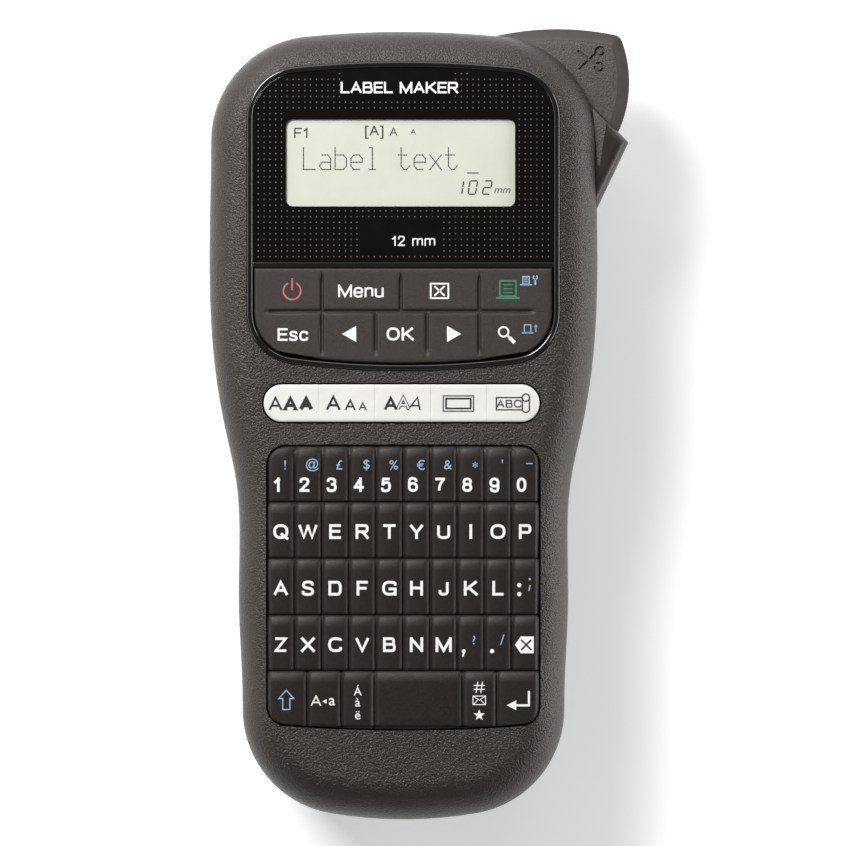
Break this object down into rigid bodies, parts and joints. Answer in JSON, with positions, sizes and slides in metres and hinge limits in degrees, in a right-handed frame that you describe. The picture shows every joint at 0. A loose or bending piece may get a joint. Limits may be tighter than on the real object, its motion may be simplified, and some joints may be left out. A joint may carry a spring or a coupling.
{
  "type": "label maker",
  "caption": "Hand-held label maker with a display, a control pad, rubber letter keys, a side cutter lever and a removable back cover over its tape and battery bays.",
  "frame": {"origin": "point on the flat back rest face, on the body's centre line, midway between the ends to within half a millimetre", "axes": "+Z out of the keys, +Y towards the top end with the display, +X to the right seen from the front"},
  "size_m": [0.1076, 0.2025, 0.0548],
  "materials": {
    "shell": "fine spark-eroded grain",
    "cover": "fine spark-eroded grain",
    "guard": "smooth satin",
    "bezel": "high gloss",
    "window": "gloss panel with a fine dot print and a clear window",
    "lcd": "pale reflective display",
    "lcd_frame": "moulded",
    "flex": "amber film",
    "keys_control": "slightly rough",
    "keys_strip": "satin",
    "keys_board": "satin rubber",
    "rubber_sheet": "matt",
    "board": "solder mask",
    "chips": "moulded",
    "cells": "printed foil sleeve",
    "contacts": "nickel plated spring steel",
    "jack": "moulded",
    "screws": "zinc plated",
    "motor": "plated can",
    "plate": "moulded",
    "gears": "acetal",
    "brass": "turned",
    "head": "glazed ceramic",
    "heat_sink": "stamped",
    "cassette": "moulded",
    "tape": "laminated film",
    "roller": "ground rubber",
    "lever": "fine grain with satin bevel",
    "pin": "ground",
    "spring": "music wire",
    "blade": "ground edge",
    "carriage": "acetal"
  },
  "bodies": {
    "casing": {"front_shell": "shell", "rear_shell": "shell", "cutter_guard": "guard", "bezel_frame": "bezel", "display_window": "window", "lcd_panel": "lcd", "lcd_holder": "lcd_frame", "lcd_flex": "flex", "keypad_membrane": "rubber_sheet", "main_board": "board", "board_components": "chips", "battery_cells": "cells", "battery_contacts": "contacts", "dc_jack": "jack", "case_screws": "screws", "motor": "motor", "gear_plate": "plate", "print_head": "head", "head_heat_sink": "heat_sink", "tape_cassette": "cassette", "tape_strip": "tape", "cutter_pivot_pin": "pin", "lever_spring": "spring"},
    "cover": {"back_cover": "cover"},
    "lever": {"cutter_lever": "lever"},
    "carriage": {"blade_carriage": "carriage", "cutter_blade": "blade"},
    "pinion": {"motor_pinion": "brass"},
    "wheel": {"reduction_gear": "gears"},
    "idler": {"idler_gear": "gears"},
    "platen": {"platen_roller": "roller", "platen_gear": "gears"},
    "takeup": {"takeup_spindle": "gears"},
    "spool": {"tape_spool": "tape"},
    "key_power": {"key_power": "keys_control"},
    "key_menu": {"key_menu": "keys_control"},
    "key_cancel": {"key_cancel": "keys_control"},
    "key_print": {"key_print": "keys_control"},
    "key_escape": {"key_escape": "keys_control"},
    "key_left": {"key_left": "keys_control"},
    "key_ok": {"key_ok": "keys_control"},
    "key_right": {"key_right": "keys_control"},
    "key_preview": {"key_preview": "keys_control"},
    "key_font": {"key_font": "keys_strip"},
    "key_size": {"key_size": "keys_strip"},
    "key_style": {"key_style": "keys_strip"},
    "key_frame": {"key_frame": "keys_strip"},
    "key_template": {"key_template": "keys_strip"},
    "key_row_numbers": {"key_row_numbers": "keys_board"},
    "key_row_q": {"key_row_q": "keys_board"},
    "key_row_a": {"key_row_a": "keys_board"},
    "key_row_z": {"key_row_z": "keys_board"},
    "key_backspace": {"key_backspace": "keys_board"},
    "key_shift": {"key_shift": "keys_board"},
    "key_caps": {"key_caps": "keys_board"},
    "key_accent": {"key_accent": "keys_board"},
    "key_space": {"key_space": "keys_board"},
    "key_symbol": {"key_symbol": "keys_board"},
    "key_enter": {"key_enter": "keys_board"}
  },
  "joints": [
    {"name": "cover_open", "type": "hinge", "parent": "casing", "child": "cover", "pos_m": [0, -0.074, 0.013], "axis": [-1, 0, 0], "range_deg": [0, 65]},
    {"name": "lever_press", "type": "hinge", "parent": "casing", "child": "lever", "pos_m": [0.0272, 0.0877, 0.034], "axis": [0, 0, -1], "range_deg": [0, 18], "stiffness_Nm_per_rad": 0.25, "springref_deg": -5.73},
    {"name": "carriage_slide", "type": "slide", "parent": "casing", "child": "carriage", "axis": [0, -1, 0], "range_m": [0, 0.00309]},
    {"name": "wheel_spin", "type": "hinge", "parent": "casing", "child": "wheel", "pos_m": [0.00401, 0.05208, 0.026], "axis": [0, 0, 1], "continuous": true},
    {"name": "pinion_spin", "type": "hinge", "parent": "casing", "child": "pinion", "pos_m": [-0.01102, 0.05208, 0.026], "axis": [0, 0, 1], "continuous": true},
    {"name": "idler_spin", "type": "hinge", "parent": "casing", "child": "idler", "pos_m": [0.01588, 0.04776, 0.026], "axis": [0, 0, 1], "continuous": true},
    {"name": "platen_spin", "type": "hinge", "parent": "casing", "child": "platen", "pos_m": [0.03, 0.0529, 0.026], "axis": [0, 0, 1], "continuous": true},
    {"name": "takeup_spin", "type": "hinge", "parent": "casing", "child": "takeup", "pos_m": [0.00776, 0.0337, 0.026], "axis": [0, 0, 1], "continuous": true},
    {"name": "spool_spin", "type": "hinge", "parent": "casing", "child": "spool", "pos_m": [-0.015, 0.057, 0.026], "axis": [0, 0, 1], "continuous": true},
    {"name": "press_power", "type": "slide", "parent": "casing", "child": "key_power", "axis": [0, 0, -1], "range_m": [0, 0.0006], "stiffness_N_per_m": 400, "springref_m": -0.0003},
    {"name": "press_menu", "type": "slide", "parent": "casing", "child": "key_menu", "axis": [0, 0, -1], "range_m": [0, 0.0006], "stiffness_N_per_m": 400, "springref_m": -0.0003},
    {"name": "press_cancel", "type": "slide", "parent": "casing", "child": "key_cancel", "axis": [0, 0, -1], "range_m": [0, 0.0006], "stiffness_N_per_m": 400, "springref_m": -0.0003},
    {"name": "press_print", "type": "slide", "parent": "casing", "child": "key_print", "axis": [0, 0, -1], "range_m": [0, 0.0006], "stiffness_N_per_m": 400, "springref_m": -0.0003},
    {"name": "press_escape", "type": "slide", "parent": "casing", "child": "key_escape", "axis": [0, 0, -1], "range_m": [0, 0.0006], "stiffness_N_per_m": 400, "springref_m": -0.0003},
    {"name": "press_left", "type": "slide", "parent": "casing", "child": "key_left", "axis": [0, 0, -1], "range_m": [0, 0.0006], "stiffness_N_per_m": 400, "springref_m": -0.0003},
    {"name": "press_ok", "type": "slide", "parent": "casing", "child": "key_ok", "axis": [0, 0, -1], "range_m": [0, 0.0006], "stiffness_N_per_m": 400, "springref_m": -0.0003},
    {"name": "press_right", "type": "slide", "parent": "casing", "child": "key_right", "axis": [0, 0, -1], "range_m": [0, 0.0006], "stiffness_N_per_m": 400, "springref_m": -0.0003},
    {"name": "press_preview", "type": "slide", "parent": "casing", "child": "key_preview", "axis": [0, 0, -1], "range_m": [0, 0.0006], "stiffness_N_per_m": 400, "springref_m": -0.0003},
    {"name": "press_font", "type": "slide", "parent": "casing", "child": "key_font", "axis": [0, 0, -1], "range_m": [0, 0.0006], "stiffness_N_per_m": 400, "springref_m": -0.0003},
    {"name": "press_size", "type": "slide", "parent": "casing", "child": "key_size", "axis": [0, 0, -1], "range_m": [0, 0.0006], "stiffness_N_per_m": 400, "springref_m": -0.0003},
    {"name": "press_style", "type": "slide", "parent": "casing", "child": "key_style", "axis": [0, 0, -1], "range_m": [0, 0.0006], "stiffness_N_per_m": 400, "springref_m": -0.0003},
    {"name": "press_frame", "type": "slide", "parent": "casing", "child": "key_frame", "axis": [0, 0, -1], "range_m": [0, 0.0006], "stiffness_N_per_m": 400, "springref_m": -0.0003},
    {"name": "press_template", "type": "slide", "parent": "casing", "child": "key_template", "axis": [0, 0, -1], "range_m": [0, 0.0006], "stiffness_N_per_m": 400, "springref_m": -0.0003},
    {"name": "press_row_numbers", "type": "slide", "parent": "casing", "child": "key_row_numbers", "axis": [0, 0, -1], "range_m": [0, 0.0008], "stiffness_N_per_m": 300, "springref_m": -0.0003},
    {"name": "press_row_q", "type": "slide", "parent": "casing", "child": "key_row_q", "axis": [0, 0, -1], "range_m": [0, 0.0008], "stiffness_N_per_m": 300, "springref_m": -0.0003},
    {"name": "press_row_a", "type": "slide", "parent": "casing", "child": "key_row_a", "axis": [0, 0, -1], "range_m": [0, 0.0008], "stiffness_N_per_m": 300, "springref_m": -0.0003},
    {"name": "press_row_z", "type": "slide", "parent": "casing", "child": "key_row_z", "axis": [0, 0, -1], "range_m": [0, 0.0008], "stiffness_N_per_m": 300, "springref_m": -0.0003},
    {"name": "press_backspace", "type": "slide", "parent": "casing", "child": "key_backspace", "axis": [0, 0, -1], "range_m": [0, 0.0008], "stiffness_N_per_m": 300, "springref_m": -0.0003},
    {"name": "press_shift", "type": "slide", "parent": "casing", "child": "key_shift", "axis": [0, 0, -1], "range_m": [0, 0.0008], "stiffness_N_per_m": 300, "springref_m": -0.0003},
    {"name": "press_caps", "type": "slide", "parent": "casing", "child": "key_caps", "axis": [0, 0, -1], "range_m": [0, 0.0008], "stiffness_N_per_m": 300, "springref_m": -0.0003},
    {"name": "press_accent", "type": "slide", "parent": "casing", "child": "key_accent", "axis": [0, 0, -1], "range_m": [0, 0.0008], "stiffness_N_per_m": 300, "springref_m": -0.0003},
    {"name": "press_space", "type": "slide", "parent": "casing", "child": "key_space", "axis": [0, 0, -1], "range_m": [0, 0.0008], "stiffness_N_per_m": 300, "springref_m": -0.0003},
    {"name": "press_symbol", "type": "slide", "parent": "casing", "child": "key_symbol", "axis": [0, 0, -1], "range_m": [0, 0.0008], "stiffness_N_per_m": 300, "springref_m": -0.0003},
    {"name": "press_enter", "type": "slide", "parent": "casing", "child": "key_enter", "axis": [0, 0, -1], "range_m": [0, 0.0008], "stiffness_N_per_m": 300, "springref_m": -0.0003}
  ],
  "couplings": [
    {"joint": "carriage_slide", "follows": "lever_press", "m_per_rad": 0.009776},
    {"joint": "pinion_spin", "follows": "wheel_spin", "ratio": -4},
    {"joint": "idler_spin", "follows": "wheel_spin", "ratio": -0.4},
    {"joint": "platen_spin", "follows": "wheel_spin", "ratio": 0.6},
    {"joint": "takeup_spin", "follows": "wheel_spin", "ratio": 0.5},
    {"joint": "spool_spin", "follows": "wheel_spin", "ratio": -0.11636}
  ]
}
